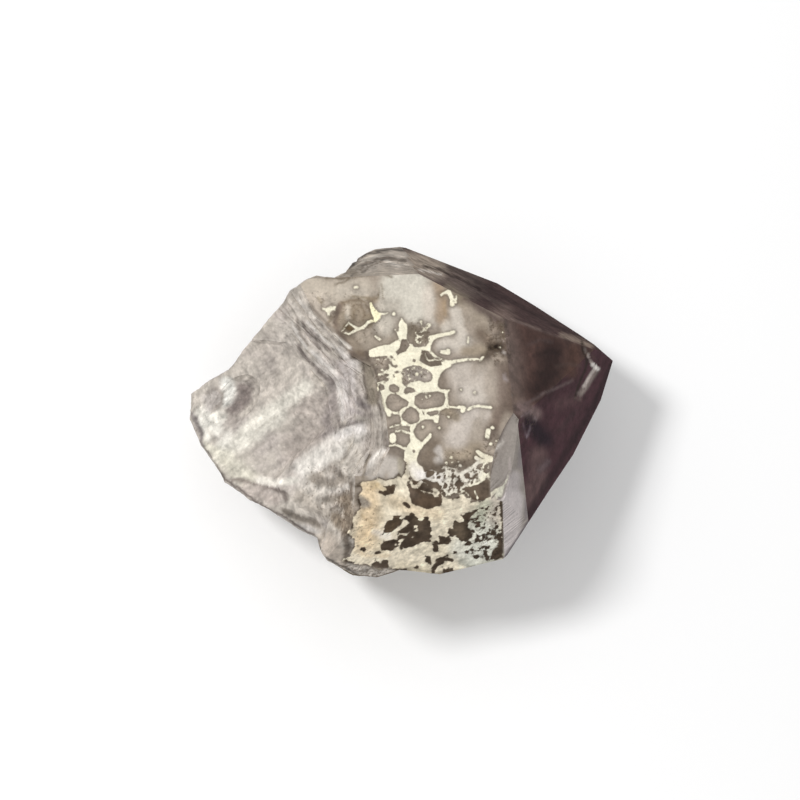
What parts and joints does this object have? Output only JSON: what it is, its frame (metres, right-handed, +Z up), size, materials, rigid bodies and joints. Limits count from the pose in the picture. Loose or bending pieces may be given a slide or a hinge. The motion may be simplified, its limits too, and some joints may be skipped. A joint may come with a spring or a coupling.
{
  "type": "amethyst point",
  "caption": "Single smoky-violet quartz crystal lying on a side face, with a six-sided tip, a milky mottled side, a chalky crust and a broken stepped root.",
  "frame": {"origin": "middle of the bounding box's bottom, on the surface that the crystal lies on", "axes": "+X along the crystal's long axis, towards the tip; +Z up, out of the broad upper side face; the crystal lies on the side face opposite to it"},
  "size_m": [0.073, 0.0552, 0.0451],
  "materials": {
    "amethyst": "natural crystal: glossy see-through smoky violet tip, frosted milky grey side with cream network, matt chalky crust, broken root"
  },
  "bodies": {
    "root": {"amethyst_point": "amethyst"}
  },
  "joints": []
}
